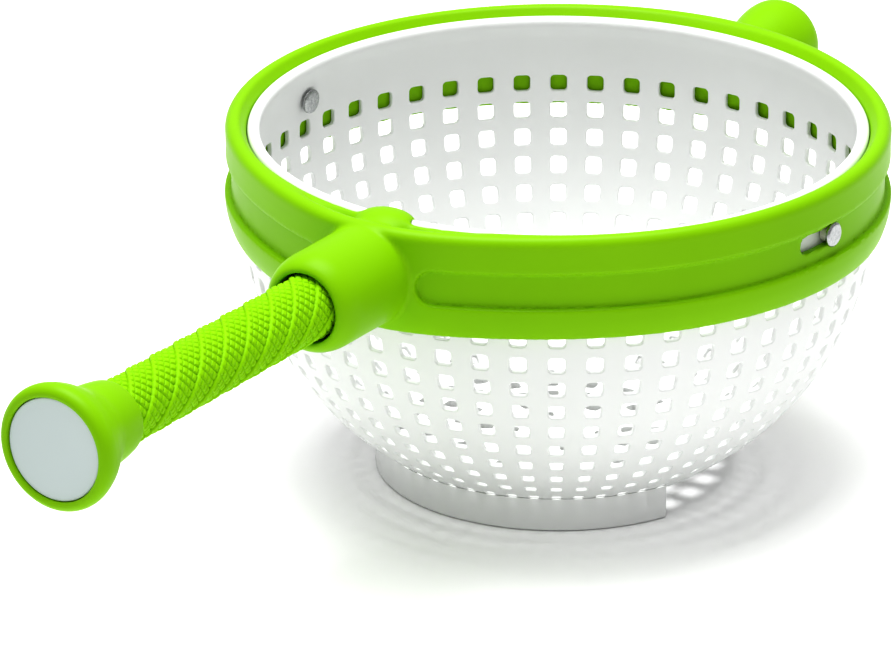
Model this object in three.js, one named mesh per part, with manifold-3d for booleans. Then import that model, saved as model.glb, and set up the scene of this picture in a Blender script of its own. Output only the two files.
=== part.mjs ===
// Salad spinner: a perforated bowl held in a ring, whirled about a handle that turns freely in the ring's hub.
// Millimetres, +Z up. The bowl stands on its foot, the long handle points along -X and the short knob along +X.
// Everything is built round the bowl's axis, and the whole group is then moved so that its origin is the
// middle of the underside of its bounding box.

import * as THREE from "three";
import { mergeVertices } from "three/addons/utils/BufferGeometryUtils.js";
import Module from "manifold-3d";

const wasm = await Module();
wasm.setup();

// ---- Driving dimensions ----

const GAP = 0.3; // left between neighbouring pieces

// Bowl: above and below its widest level the inside follows two half ellipses.
const BOWL_RADIUS = 121.6;
const BOWL_DEPTH = 118;
const LEAN_HEIGHT = 96;
const WIDEST_Z = 112;
const WALL = 2.2;
const FLOOR_TOP_Z = 12;
const FLOOR_THICKNESS = 2.4;
const RIM_TOP_Z = 141.8;
const RIM_START_Z = 135;
const RIM_INNER = 115.5;
const RIM_OUTER = 120.4;

// Wall holes: each opening here stands for a block of two by two real ones, with the same open share.
const HOLE_COLUMNS = 26;
const HOLE_ROWS = 5;
const ROW_STEP = 10.84; // degrees of the bowl's ellipse from one row to the next
const FIRST_ROW = 2.71; // degrees below the widest level
const OPEN_WIDTH_SHARE = 0.45;
const OPEN_HEIGHT_SHARE = 0.61;
const FIRST_COLUMN = 98.11; // degrees from +X
const FLOOR_RINGS = [
  { radius: 51, count: 13, size: 11 },
  { radius: 28, count: 6, size: 11 },
];

// Foot: an upright skirt in two arcs, given by the middle and half width of each in degrees.
const FOOT_OUTER = 71;
const FOOT_WALL = 2.4;
const FOOT_TOP_Z = 14;
const FOOT_ARCS = [
  { middle: 180, half: 69.6 },
  { middle: 0, half: 45 },
];

// Ring round the rim: its round crest stands a little above the rim. Its outside swells out towards the hub,
// and a little towards the knob.
const RING_BOTTOM_Z = 102.5;
const RING_BOTTOM_RADIUS = 126.5;
const LOWER_BEAD = { radius: 129.3, z: 114 };
const UPPER_BEAD = { radius: 128.8, z: 132 };
const CREST = { radius: 125.3, z: 140.4, round: 3.7 };
const LIP_Z = 139.8;
const SWELL = { atHub: 8, atKnob: 2, width: 22, from: 121.5, full: 128 };
const GROOVE_LOW_Z = 115.6;
const GROOVE_HIGH_Z = 129.5;
const GROOVE_RADIUS = 126.7;
const GROOVE_END_ANGLE = 12; // from the handle's axis to the centre of the groove's round end

// Twist slots and the rivets that run in them.
const PIN_ANGLES = [-92.3, 87.7];
const TWIST = 7; // degrees from one end of a slot to the other
const SLOT_HALF_HEIGHT = 3.5;
const PIN_Z = 124.2;
const PIN_RADIUS = 2.3;
const PIN_HEAD = { radius: 4.9, thickness: 1.6 };
const BUSH_RADIUS = 3.2;

// Hub, knob and handle, measured outwards from the bowl's axis.
const AXIS_Z = 123.6;
const HUB_RADIUS = 19.6;
const HUB_END = 177;
const HUB_LIP = { depth: 5, length: 11 }; // the hub's outer edge is a quarter of an ellipse
const HOOK = { middle: 121, z: 139.5, reach: 10, halfWidth: 12.3, rise: 5.6, lipZ: 137 };
const SOCKET_RADIUS = 13.9;
const SOCKET_FLOOR = 152;
const KNOB = { neck: 13, head: 17.4, headAt: 163, end: 174, edge: 10 };

const SPINDLE = { radius: 3, from: 126.4, to: 205, groove: 2.4 };
const OUTER_BUSH = { radius: 6, from: 142, to: 151.7, flange: 9 };
const INNER_BUSH = { radius: 6, from: 130.6, to: 140, flange: 8 };
const BUSH_FLANGE = 1.4;
const CLIP = { from: 128, thickness: 1, radius: 6, mouth: 80 };
const THRUST_WASHER = { radius: 11, thickness: 1.4 };

const CORE = { radius: 10.5, bore: 7.2, from: 154, to: 320, plug: 208 };
const SLEEVE = { radius: 13, from: 154, to: 301.2 };
const CAP = { from: 301.5, floor: 320.3, wall: 4, to: 339 };
const DISC = { radius: 19.8, thickness: 2, face: 337.8 };
const END_SCREW = { radius: 2, length: 22, head: 4, headHeight: 2.5 };
const END_WASHER = { radius: 7, thickness: 1.2 };

const ROUND = 60; // facets round the ring
const TURNED = 28; // facets round the handle's large pieces
const SMALL = 18; // facets round the small turned pieces

// ---- Materials ----

const plastic = (color, roughness) => new THREE.MeshStandardMaterial({ color, roughness, metalness: 0 });
const WHITE = plastic(0xdcdcd6, 0.42);
const GREEN = plastic(0x86d313, 0.38);
const GREY = plastic(0xb7c3c1, 0.5);
const BEARING = plastic(0x2b2e30, 0.55);
const STEEL = new THREE.MeshStandardMaterial({ color: 0xc9cccd, roughness: 0.28, metalness: 1 });

// ---- Solids from three.js geometry ----

const radians = THREE.MathUtils.degToRad;

// A closed geometry as a solid; one whose faces point in is turned the right way round.
function solidOf(geometry) {
  const bare = geometry.clone();
  bare.deleteAttribute("normal");
  bare.deleteAttribute("uv");
  const merged = mergeVertices(bare, 1e-4);
  const vertProperties = new Float32Array(merged.attributes.position.array);
  const triVerts = new Uint32Array(merged.index.array);
  const made = new wasm.Manifold(new wasm.Mesh({ numProp: 3, vertProperties, triVerts }));
  if (made.volume() > 0) {
    return made;
  }
  return new wasm.Manifold(new wasm.Mesh({ numProp: 3, vertProperties, triVerts: triVerts.reverse() }));
}

function geometryOf(solid) {
  const mesh = solid.getMesh();
  const geometry = new THREE.BufferGeometry();
  geometry.setAttribute("position", new THREE.BufferAttribute(new Float32Array(mesh.vertProperties), 3));
  geometry.setIndex(new THREE.BufferAttribute(new Uint32Array(mesh.triVerts), 1));
  const faceted = geometry.toNonIndexed();
  faceted.computeVertexNormals();
  return faceted;
}

// Turned about the bowl's axis: points are (radius, height), and a facet edge lies at startAngle from +X.
function turnedUpright(points, segments, startAngle = 0) {
  const geometry = new THREE.LatheGeometry(points, segments, radians(startAngle + 90));
  return solidOf(geometry.rotateX(Math.PI / 2));
}

// Turned about the handle's axis: points are (radius, distance from the bowl's axis), side is -1 or +1 in X.
function turnedSideways(points, segments = TURNED, side = -1) {
  const geometry = new THREE.LatheGeometry(points, segments);
  geometry.rotateZ(-side * Math.PI / 2);
  return solidOf(geometry.translate(0, 0, AXIS_Z));
}

function points(...pairs) {
  return pairs.map(([radius, along]) => new THREE.Vector2(radius, along));
}

function rod(radius, from, to) {
  return points([0, from], [radius, from], [radius, to], [0, to]);
}

function tube(inner, outer, from, to) {
  return points([inner, from], [outer, from], [outer, to], [inner, to], [inner, from]);
}

// A solid made with its axis along +Z at the origin, laid radially through the bowl's wall at an angle.
function laidRadially(solidGeometry, angle, distance, z) {
  const geometry = solidGeometry.clone();
  geometry.rotateX(Math.PI / 2).rotateZ(radians(90));
  geometry.translate(distance, 0, 0).rotateZ(radians(angle)).translate(0, 0, z);
  return solidOf(geometry);
}

function radialRod(radius, from, to, angle, z, segments = SMALL) {
  const geometry = new THREE.CylinderGeometry(radius, radius, to - from, segments);
  geometry.rotateX(Math.PI / 2);
  return laidRadially(geometry, angle, (from + to) / 2, z);
}

// ---- Basket ----

// Radius of the bowl's wall at a height; offset 0 is the inside, WALL the outside.
function wallRadius(z, offset) {
  const halfHeight = (z > WIDEST_Z ? LEAN_HEIGHT : BOWL_DEPTH) + offset;
  const share = (z - WIDEST_Z) / halfHeight;
  return (BOWL_RADIUS + offset) * Math.sqrt(1 - share * share);
}

// A point of the wall at a number of degrees below the widest level.
function wallPoint(below, offset) {
  const angle = radians(below);
  const z = WIDEST_Z - (BOWL_DEPTH + offset) * Math.sin(angle);
  return new THREE.Vector2((BOWL_RADIUS + offset) * Math.cos(angle), z);
}

// The wall from the floor up to the rim, with one point between neighbouring rows of holes.
function wallOutline(offset, floorZ) {
  const outline = [new THREE.Vector2(wallRadius(floorZ, offset), floorZ)];
  for (let row = HOLE_ROWS; row >= 0; row -= 1) {
    outline.push(wallPoint(FIRST_ROW + (row - 0.5) * ROW_STEP, offset));
  }
  for (const z of [127, RIM_START_Z]) {
    outline.push(new THREE.Vector2(wallRadius(z, offset), z));
  }
  return outline;
}

function rimOutline() {
  const half = (RIM_OUTER - RIM_INNER) / 2;
  const path = new THREE.Path();
  path.absellipse(RIM_INNER + half, RIM_TOP_Z - half, half, half, Math.PI, 0, true);
  return path.getPoints(2);
}

function bowlShell() {
  const floorUnder = FLOOR_TOP_Z - FLOOR_THICKNESS;
  const outline = [
    new THREE.Vector2(0, FLOOR_TOP_Z),
    ...wallOutline(0, FLOOR_TOP_Z),
    ...rimOutline(),
    ...wallOutline(WALL, floorUnder).reverse(),
    new THREE.Vector2(0, floorUnder),
  ];
  const facetShift = 90 / HOLE_COLUMNS;
  return turnedUpright(outline, 2 * HOLE_COLUMNS, FIRST_COLUMN + facetShift);
}

function wallHole(row, column) {
  const below = FIRST_ROW + row * ROW_STEP;
  const middle = wallPoint(below, WALL / 2);
  const upper = wallPoint(below - ROW_STEP / 2, WALL / 2);
  const lower = wallPoint(below + ROW_STEP / 2, WALL / 2);
  const width = middle.x * radians(360 / HOLE_COLUMNS) * OPEN_WIDTH_SHARE;
  const height = upper.distanceTo(lower) * OPEN_HEIGHT_SHARE;
  const lean = Math.atan2(upper.x - lower.x, upper.y - lower.y);
  const box = new THREE.BoxGeometry(4 * WALL, width, height);
  box.rotateY(lean).translate((upper.x + lower.x) / 2, 0, (upper.y + lower.y) / 2);
  return solidOf(box.rotateZ(radians(FIRST_COLUMN + (column * 360) / HOLE_COLUMNS)));
}

function floorHole(ring, index) {
  const box = new THREE.BoxGeometry(ring.size, ring.size, 4 * FLOOR_THICKNESS);
  box.translate(ring.radius, 0, FLOOR_TOP_Z);
  return solidOf(box.rotateZ(radians(FIRST_COLUMN + (index * 360) / ring.count)));
}

// A wedge of space round the bowl's axis, tall enough to take the whole foot.
function wedge(arc) {
  const reach = 2 * FOOT_OUTER;
  const start = radians(arc.middle - arc.half);
  const shape = new THREE.Shape();
  shape.moveTo(0, 0);
  shape.lineTo(reach * Math.cos(start), reach * Math.sin(start));
  shape.absarc(0, 0, reach, start, radians(arc.middle + arc.half), false);
  const geometry = new THREE.ExtrudeGeometry(shape, {
    depth: 2 * FOOT_TOP_Z,
    bevelEnabled: false,
    curveSegments: 8,
  });
  return solidOf(geometry.translate(0, 0, -FOOT_TOP_Z));
}

function footArc(arc) {
  const skirt = turnedUpright(tube(FOOT_OUTER - FOOT_WALL, FOOT_OUTER, 0, FOOT_TOP_Z), ROUND);
  return skirt.intersect(wedge(arc));
}

function basket() {
  let solid = bowlShell();
  for (let row = 0; row < HOLE_ROWS; row += 1) {
    for (let column = 0; column < HOLE_COLUMNS; column += 1) {
      solid = solid.subtract(wallHole(row, column));
    }
  }
  for (const ring of FLOOR_RINGS) {
    for (let index = 0; index < ring.count; index += 1) {
      solid = solid.subtract(floorHole(ring, index));
    }
  }
  for (const arc of FOOT_ARCS) {
    solid = solid.add(footArc(arc));
  }
  for (const angle of PIN_ANGLES) {
    solid = solid.subtract(radialRod(PIN_RADIUS + GAP, RIM_INNER, LOWER_BEAD.radius, angle, PIN_Z));
  }
  return solid;
}

// ---- Ring frame ----

// The ring's inner face, from its bottom edge up to its lip, keeps the gap to the bowl's outside.
function clearOutline() {
  const outline = [];
  const steps = 6;
  for (let i = 0; i <= steps; i += 1) {
    const z = RING_BOTTOM_Z + ((LIP_Z - RING_BOTTOM_Z) * i) / steps;
    outline.push(new THREE.Vector2(Math.max(wallRadius(z, WALL), RIM_OUTER) + GAP, z));
  }
  return outline;
}

// Moves the outside of the ring out by the swell, and leaves its inner face where it is.
function swell(solid) {
  return solid.warp((place) => {
    const [x, y, z] = place;
    const radius = Math.hypot(x, y);
    const clear = Math.max(wallRadius(z, WALL), RIM_OUTER) + GAP;
    const share = radius < clear + GAP ? 0 : THREE.MathUtils.smoothstep(radius, SWELL.from, SWELL.full);
    const fromAxis = THREE.MathUtils.radToDeg(Math.atan2(Math.abs(y), Math.abs(x)));
    const reach = x < 0 ? SWELL.atHub : SWELL.atKnob;
    const out = share * reach * Math.exp(-((fromAxis / SWELL.width) ** 2));
    place[0] = x * (1 + out / radius);
    place[1] = y * (1 + out / radius);
  });
}

function ringBody() {
  const path = new THREE.Path();
  path.moveTo(RING_BOTTOM_RADIUS, RING_BOTTOM_Z);
  path.quadraticCurveTo(LOWER_BEAD.radius - 0.5, 107, LOWER_BEAD.radius, LOWER_BEAD.z);
  path.lineTo(UPPER_BEAD.radius, UPPER_BEAD.z);
  path.absarc(CREST.radius, CREST.z, CREST.round, 0, radians(120), false);
  const outline = [...path.getPoints(4), ...clearOutline().reverse()];
  outline.push(outline[0]);
  const geometry = new THREE.LatheGeometry(outline, ROUND, radians(90));
  return solidOf(geometry.rotateX(Math.PI / 2));
}

// The channel round the ring's outside, whose ends stop short of the hub and the knob in half circles.
function groove() {
  const middle = (GROOVE_LOW_Z + GROOVE_HIGH_Z) / 2;
  const half = (GROOVE_HIGH_Z - GROOVE_LOW_Z) / 2;
  const outside = LOWER_BEAD.radius + 1;
  let channel = turnedUpright(tube(GROOVE_RADIUS, outside, GROOVE_LOW_Z, GROOVE_HIGH_Z), ROUND);
  for (const axisAngle of [0, 180]) {
    channel = channel.subtract(wedge({ middle: axisAngle, half: GROOVE_END_ANGLE }).translate(0, 0, middle));
    for (const side of [-1, 1]) {
      const angle = axisAngle + side * GROOVE_END_ANGLE;
      channel = channel.add(radialRod(half, GROOVE_RADIUS, outside, angle, middle, 24));
    }
  }
  return channel;
}

// A slot through the ring from a pin's angle back by the twist.
function twistSlot(angle) {
  let slot = turnedUpright(
    tube(RIM_OUTER, GROOVE_RADIUS + 1, PIN_Z - SLOT_HALF_HEIGHT, PIN_Z + SLOT_HALF_HEIGHT),
    ROUND,
    angle,
  );
  slot = slot.intersect(wedge({ middle: angle - TWIST / 2, half: TWIST / 2 }).translate(0, 0, PIN_Z));
  for (const end of [angle, angle - TWIST]) {
    slot = slot.add(radialRod(SLOT_HALF_HEIGHT, RIM_OUTER, GROOVE_RADIUS + 1, end, PIN_Z));
  }
  return slot;
}

function hub() {
  const path = new THREE.Path();
  path.moveTo(0, RIM_OUTER);
  path.lineTo(HUB_RADIUS, RIM_OUTER);
  path.lineTo(HUB_RADIUS, HUB_END - HUB_LIP.length);
  const { depth, length } = HUB_LIP;
  path.absellipse(HUB_RADIUS - depth, HUB_END - length, depth, length, 0, Math.PI / 2, false, 0);
  path.lineTo(0, HUB_END);
  return turnedSideways(path.getPoints(2), 36);
}

// The low dome that carries the hub's top over the bowl's rim and hooks behind it.
function hook() {
  const dome = new THREE.SphereGeometry(1, 20, 12).rotateX(Math.PI / 2);
  dome.scale(HOOK.reach, HOOK.halfWidth, HOOK.rise).translate(-HOOK.middle, 0, HOOK.z);
  return solidOf(dome);
}

function hubBores() {
  const inside = HOOK.middle - HOOK.reach;
  const bush = OUTER_BUSH.radius + GAP;
  let bores = turnedSideways(rod(SOCKET_RADIUS, SOCKET_FLOOR, HUB_END + 1), 36);
  bores = bores.add(turnedSideways(rod(bush, inside, HUB_END), SMALL));
  const outerSeat = SOCKET_FLOOR - BUSH_FLANGE - 2 * GAP;
  bores = bores.add(turnedSideways(rod(OUTER_BUSH.flange + GAP, outerSeat, HUB_END), SMALL));
  const innerSeat = INNER_BUSH.from + BUSH_FLANGE + GAP;
  return bores.add(turnedSideways(rod(INNER_BUSH.flange + GAP, inside, innerSeat), SMALL));
}

// The short smooth knob opposite the handle.
function knob() {
  const path = new THREE.Path();
  path.moveTo(0, RIM_OUTER);
  path.lineTo(KNOB.neck + 4, RIM_OUTER);
  path.lineTo(KNOB.neck + 4, LOWER_BEAD.radius - 2);
  path.quadraticCurveTo(KNOB.neck, LOWER_BEAD.radius, KNOB.neck, LOWER_BEAD.radius + 6);
  path.bezierCurveTo(KNOB.neck, KNOB.headAt - 14, KNOB.head, KNOB.headAt - 11, KNOB.head, KNOB.headAt);
  path.lineTo(KNOB.head, KNOB.end - KNOB.edge);
  path.absarc(KNOB.head - KNOB.edge, KNOB.end - KNOB.edge, KNOB.edge, 0, Math.PI / 2, false);
  path.lineTo(0, KNOB.end);
  return turnedSideways(path.getPoints(2), TURNED, 1);
}

// The space inside the ring that the hub and the knob keep out of. Between the rim's inside and the
// bowl's middle it stops at the hook's lip.
function bowlSpace() {
  const top = RIM_TOP_Z + GAP;
  const inner = RIM_INNER - GAP;
  const outline = [
    new THREE.Vector2(0, RING_BOTTOM_Z),
    ...clearOutline(),
    new THREE.Vector2(RIM_OUTER + GAP, top),
    new THREE.Vector2(inner, top),
    new THREE.Vector2(inner, HOOK.lipZ),
    new THREE.Vector2(0, HOOK.lipZ),
  ];
  return turnedUpright(outline, ROUND);
}

function ringFrame() {
  const arms = hub().add(hook()).add(knob()).subtract(bowlSpace());
  let solid = swell(ringBody().subtract(groove())).add(arms).subtract(hubBores());
  for (const angle of PIN_ANGLES) {
    solid = solid.subtract(twistSlot(angle));
  }
  return solid;
}

// ---- Guide pins: a rivet through the slot and the wall, a bush on its shank and a cap on its inner end ----

// The cap seats on the innermost part of the wall that it covers.
const PIN_SEAT = wallRadius(PIN_Z + PIN_HEAD.radius, 0) * Math.cos(Math.PI / HOLE_COLUMNS / 2) - GAP;
const PIN_FACE = GROOVE_RADIUS + GAP;

function guidePin(angle) {
  const shank = radialRod(PIN_RADIUS, PIN_SEAT - PIN_HEAD.thickness / 2, PIN_FACE + 0.5, angle, PIN_Z);
  const head = new THREE.CylinderGeometry(PIN_HEAD.radius, PIN_HEAD.radius - 0.5, PIN_HEAD.thickness, 24);
  head.rotateX(-Math.PI / 2);
  return shank.add(laidRadially(head, angle, PIN_FACE + PIN_HEAD.thickness / 2, PIN_Z));
}

function pinCap(angle) {
  const cap = radialRod(PIN_HEAD.radius, PIN_SEAT - PIN_HEAD.thickness, PIN_SEAT, angle, PIN_Z, 24);
  const socket = PIN_HEAD.thickness / 2 + GAP;
  return cap.subtract(radialRod(PIN_RADIUS + GAP, PIN_SEAT - socket, PIN_SEAT + 1, angle, PIN_Z));
}

function slotBush(angle) {
  const from = wallRadius(PIN_Z, WALL) + 2 * GAP;
  const bush = radialRod(BUSH_RADIUS, from, GROOVE_RADIUS, angle, PIN_Z);
  return bush.subtract(radialRod(PIN_RADIUS + GAP, from - 1, GROOVE_RADIUS + 1, angle, PIN_Z));
}

// ---- Bearing ----

function flangedBush(bush, flangeFrom, flangeTo) {
  const bore = SPINDLE.radius + GAP;
  const sleeve = turnedSideways(tube(bore, bush.radius, bush.from, bush.to), SMALL);
  return sleeve.add(turnedSideways(tube(bore, bush.flange, flangeFrom, flangeTo), SMALL));
}

function spindle() {
  const clipEnd = CLIP.from + CLIP.thickness + GAP;
  return turnedSideways(
    points(
      [0, SPINDLE.from],
      [SPINDLE.radius, SPINDLE.from],
      [SPINDLE.radius, CLIP.from - GAP],
      [SPINDLE.groove, CLIP.from - GAP],
      [SPINDLE.groove, clipEnd],
      [SPINDLE.radius, clipEnd],
      [SPINDLE.radius, SPINDLE.to],
      [0, SPINDLE.to],
    ),
    SMALL,
  );
}

// An open ring that snaps into the spindle's groove.
function retainingClip() {
  const inner = SPINDLE.groove + GAP;
  const ring = turnedSideways(tube(inner, CLIP.radius, CLIP.from, CLIP.from + CLIP.thickness), SMALL);
  const mouthWidth = 2 * inner * Math.sin(radians(CLIP.mouth / 2));
  const mouth = new THREE.BoxGeometry(4 * CLIP.thickness, mouthWidth, 2 * CLIP.radius);
  mouth.translate(-CLIP.from, 0, AXIS_Z - CLIP.radius);
  return ring.subtract(solidOf(mouth));
}

// ---- Handle ----

// Solid round the spindle, hollow beyond it, and solid again where the end screw bites.
function gripCore() {
  const screwFrom = CORE.to - END_SCREW.length - GAP;
  const solidEnd = screwFrom - 6;
  let core = turnedSideways(rod(CORE.radius, CORE.from, CORE.to));
  core = core.subtract(turnedSideways(rod(SPINDLE.radius + GAP, CORE.from - 1, CORE.plug), SMALL));
  core = core.subtract(turnedSideways(rod(CORE.bore, CORE.plug, solidEnd), SMALL));
  return core.subtract(turnedSideways(rod(END_SCREW.radius + GAP, solidEnd - 1, CORE.to + 1), SMALL));
}

function gripSleeve() {
  return turnedSideways(tube(CORE.radius + GAP, SLEEVE.radius, SLEEVE.from, SLEEVE.to));
}

// A collar that starts a little proud of the sleeve and flares into the round end, open for the disc.
function endCap() {
  const bore = CORE.radius + GAP;
  const screwHole = END_SCREW.radius + GAP;
  const washerWell = END_WASHER.radius + 1;
  const recess = DISC.radius + GAP;
  const floorOut = CAP.floor + CAP.wall;
  const discBack = DISC.face - DISC.thickness - GAP;
  const path = new THREE.Path();
  path.moveTo(bore, CAP.from);
  path.lineTo(13.4, CAP.from);
  path.quadraticCurveTo(14.7, CAP.from, 15, CAP.from + 2.5);
  path.bezierCurveTo(15.5, CAP.from + 5, 16.1, CAP.to - 29, 16.2, CAP.to - 24.5);
  path.bezierCurveTo(16.5, CAP.to - 19.5, 22, CAP.to - 14, 23.6, CAP.to - 8);
  path.bezierCurveTo(24.9, CAP.to - 5, 24.8, CAP.to - 0.9, 21.6, CAP.to);
  path.lineTo(recess, CAP.to - 0.4);
  path.lineTo(recess, discBack);
  path.lineTo(recess - 2, discBack);
  path.lineTo(washerWell, floorOut);
  path.lineTo(screwHole, floorOut);
  path.lineTo(screwHole, CAP.floor);
  path.lineTo(bore, CAP.floor);
  path.lineTo(bore, CAP.from);
  return turnedSideways(path.getPoints(3));
}

function endDisc() {
  const edge = 0.5;
  const back = DISC.face - DISC.thickness;
  return turnedSideways(
    points(
      [0, back],
      [DISC.radius, back],
      [DISC.radius, DISC.face - edge],
      [DISC.radius - edge, DISC.face],
      [0, DISC.face],
    ),
  );
}

function endWasher() {
  const from = CAP.floor + CAP.wall + GAP;
  const bore = END_SCREW.radius + GAP;
  return turnedSideways(tube(bore, END_WASHER.radius, from, from + END_WASHER.thickness), SMALL);
}

function endScrew() {
  const seat = CAP.floor + CAP.wall + END_WASHER.thickness + 2 * GAP;
  const shank = turnedSideways(rod(END_SCREW.radius, CORE.to - END_SCREW.length, seat + 0.5), SMALL);
  return shank.add(turnedSideways(rod(END_SCREW.head, seat, seat + END_SCREW.headHeight), SMALL));
}

// ---- The whole spinner ----

const spinner = new THREE.Group();
// The bounding box runs from the end cap's face to the knob's end.
spinner.position.x = (CAP.to - KNOB.end) / 2;

function place(name, solid, material) {
  const mesh = new THREE.Mesh(geometryOf(solid), material);
  mesh.name = name;
  spinner.add(mesh);
}

place("basket", basket(), WHITE);
place("ring_frame", ringFrame(), GREEN);

const PIN_SIDES = ["right", "left"];
PIN_ANGLES.forEach((angle, i) => {
  place(`guide_pin_${PIN_SIDES[i]}`, guidePin(angle), STEEL);
  place(`pin_cap_${PIN_SIDES[i]}`, pinCap(angle), STEEL);
  place(`slot_bush_${PIN_SIDES[i]}`, slotBush(angle), BEARING);
});

const outerFlange = OUTER_BUSH.to - BUSH_FLANGE;
place("bearing_bush_outer", flangedBush(OUTER_BUSH, outerFlange, OUTER_BUSH.to), BEARING);
const innerFlange = INNER_BUSH.from + BUSH_FLANGE;
place("bearing_bush_inner", flangedBush(INNER_BUSH, INNER_BUSH.from, innerFlange), BEARING);
place("spindle", spindle(), STEEL);
place("retaining_clip", retainingClip(), STEEL);

const washerFrom = SOCKET_FLOOR + GAP;
const washerTo = washerFrom + THRUST_WASHER.thickness;
const washer = tube(SPINDLE.radius + GAP, THRUST_WASHER.radius, washerFrom, washerTo);
place("thrust_washer", turnedSideways(washer, SMALL), BEARING);

place("grip_core", gripCore(), BEARING);
place("grip_sleeve", gripSleeve(), GREEN);
place("end_cap", endCap(), GREEN);
place("end_disc", endDisc(), GREY);
place("end_washer", endWasher(), STEEL);
place("end_screw", endScrew(), STEEL);

export default spinner;
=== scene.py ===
import math

import bmesh
import bpy
import numpy as np
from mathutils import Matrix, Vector
from mathutils.geometry import tessellate_polygon


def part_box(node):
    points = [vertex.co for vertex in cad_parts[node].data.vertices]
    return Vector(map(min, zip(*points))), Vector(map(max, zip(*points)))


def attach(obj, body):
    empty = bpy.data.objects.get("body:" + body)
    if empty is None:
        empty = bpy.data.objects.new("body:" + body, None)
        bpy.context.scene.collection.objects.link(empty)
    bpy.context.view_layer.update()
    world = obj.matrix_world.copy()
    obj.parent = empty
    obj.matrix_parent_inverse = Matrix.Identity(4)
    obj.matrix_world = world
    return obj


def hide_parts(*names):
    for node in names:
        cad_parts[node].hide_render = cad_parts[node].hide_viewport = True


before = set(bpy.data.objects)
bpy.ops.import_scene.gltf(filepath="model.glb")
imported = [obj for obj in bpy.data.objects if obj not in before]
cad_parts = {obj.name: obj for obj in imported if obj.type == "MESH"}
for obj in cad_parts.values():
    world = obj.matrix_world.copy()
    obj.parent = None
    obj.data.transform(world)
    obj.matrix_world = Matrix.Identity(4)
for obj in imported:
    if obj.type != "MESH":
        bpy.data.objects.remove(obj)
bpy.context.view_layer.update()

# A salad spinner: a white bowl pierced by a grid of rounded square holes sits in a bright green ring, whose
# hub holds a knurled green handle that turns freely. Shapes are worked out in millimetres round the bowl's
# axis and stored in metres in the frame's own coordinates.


def node_box(node):
    """Lowest and highest corner of a CAD node, in millimetres."""
    low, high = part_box(node)
    return np.array(low) * 1000, np.array(high) * 1000


BASKET_LOW, BASKET_HIGH = node_box("basket")
CENTRE_X = (BASKET_LOW[0] + BASKET_HIGH[0]) / 2
SLEEVE_LOW, SLEEVE_HIGH = node_box("grip_sleeve")
CAP_LOW, CAP_HIGH = node_box("end_cap")
DISC_LOW, DISC_HIGH = node_box("end_disc")
RING_HIGH = node_box("ring_frame")[1]
AXIS_Z = (CAP_LOW[2] + CAP_HIGH[2]) / 2

# ---- Driving dimensions, in millimetres ----

GAP = 0.3
WELD = 0.002  # points closer than this are made one
BOWL_RADIUS = 121.6  # of the wall's inside where it is widest
BOWL_DEPTH = 118.0  # of the half ellipse under the widest place
LEAN_HEIGHT = 96.0  # of the half ellipse over it, which the wall leans in by
WIDEST_Z = 112.0
WALL = 2.2
FLOOR_TOP = 12.0
FLOOR_UNDER = 9.6
FLOOR_RADIUS = 64.6
FLOOR_BEND_INSIDE = (65.4, 12.3)  # radius and height where the wall turns into the floor
FLOOR_BEND_OUTSIDE = (66.2, 10.1)
RIM_TOP = 141.8
RIM_INNER = 115.5
RIM_OUTER = 120.4
RIM_BAND = (120, 123, 126, 129, 132, 134.5)  # heights along the plain wall under the rim
RIM_UNDER = 136.5  # height where the rim's round top meets the outer wall
RIM_TUCK = (0.9, 1.7)  # share of the rim's half thickness and drop where it meets the inner wall
RIM_SWEEP = 1.08  # of half a turn, over the rim's round top
RIM_STEPS = 16

COLUMNS = 52
ROWS = 11
ROW_STEP = 5.42  # degrees of the bowl's ellipse
FIRST_COLUMN = 94.65  # degrees from +X
HOLE_WIDTH_SHARE = 0.45
HOLE_HEIGHT_SHARE = 0.6
TALLEST_HOLE = 1.05  # of its width
CORNER_SHARE = 0.5  # of half the hole's width
HOLE_BEVEL = 0.35
SIDE_POINTS = 5  # points along each side of a hole's cell
# Outer and inner radius of each ring of holes in the floor, how many there are and how wide they are.
FLOOR_RINGS = [
    (FLOOR_RADIUS, 54.5, 26, 6.0),
    (54.5, 44.0, 20, 6.0),
    (44.0, 33.5, 20, 5.2),
    (33.5, 22.5, 13, 5.6),
    (22.5, 12.0, 10, 4.6),
]

FOOT_OUTER = 71.0
FOOT_INNER = 68.6
FOOT_TOP = 13.2
FOOT_ARCS = [(180.0, 69.6), (0.0, 45.0)]  # middle and half length of each arc, in degrees
FOOT_EASE = 0.5
FOOT_END_SHARE = 0.12  # of the skirt's thickness, at the very end of an arc
FOOT_END_STEPS = 4
FOOT_STEPS = 60

# The ring's section is drawn before it swells; pairs are radius and height.
GROOVE_LOW = 115.6
GROOVE_HIGH = 129.5
GROOVE_RADIUS = 126.7
GROOVE_END = 12.0  # degrees from the handle's axis
BEAD_RADIUS = 129.3
RING_BOTTOM = 102.5
LIP_Z = 139.8
RING_FOOT = (126.9, 103.2)
RING_SIDE = [(129.15, 122), (128.85, 129), (128.8, 134), (128.9, 138)]
CREST = (125.3, 140.4, 3.7)  # radius, height and roundness
DOME_FILLET = 2.0
HUB_FILLET = 1.6
KNOB_FILLET = 3.0
GROOVE_EASE = 1.0
SLOT_EASE = 0.6
BORE_EASE = 1.2
SWELL_HUB = 8.0  # how far the ring swells outward at the hub
SWELL_KNOB = 2.0
SWELL_WIDTH = 22.0  # degrees
SWELL_FROM = 121.5  # radius where the swell begins
SWELL_FULL = 128.0  # radius where it is complete
PIN_ANGLES = {"right": -92.3, "left": 87.7}  # degrees from +X
TWIST = 7.0  # degrees of slot past the pin
SLOT_HALF = 3.5
SLOT_OUT = 1.5  # how far the slot's cut reaches past the groove's floor
PIN_Z = 124.2
PIN_RADIUS = 2.3
PIN_INSIDE = 1.2  # how far the shank reaches into the bowl
PIN_HEAD = 4.9
PIN_HEAD_THICK = 1.6
CAP_HEAD_THICK = 1.6
CAP_HOLLOW = 1.0

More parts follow.
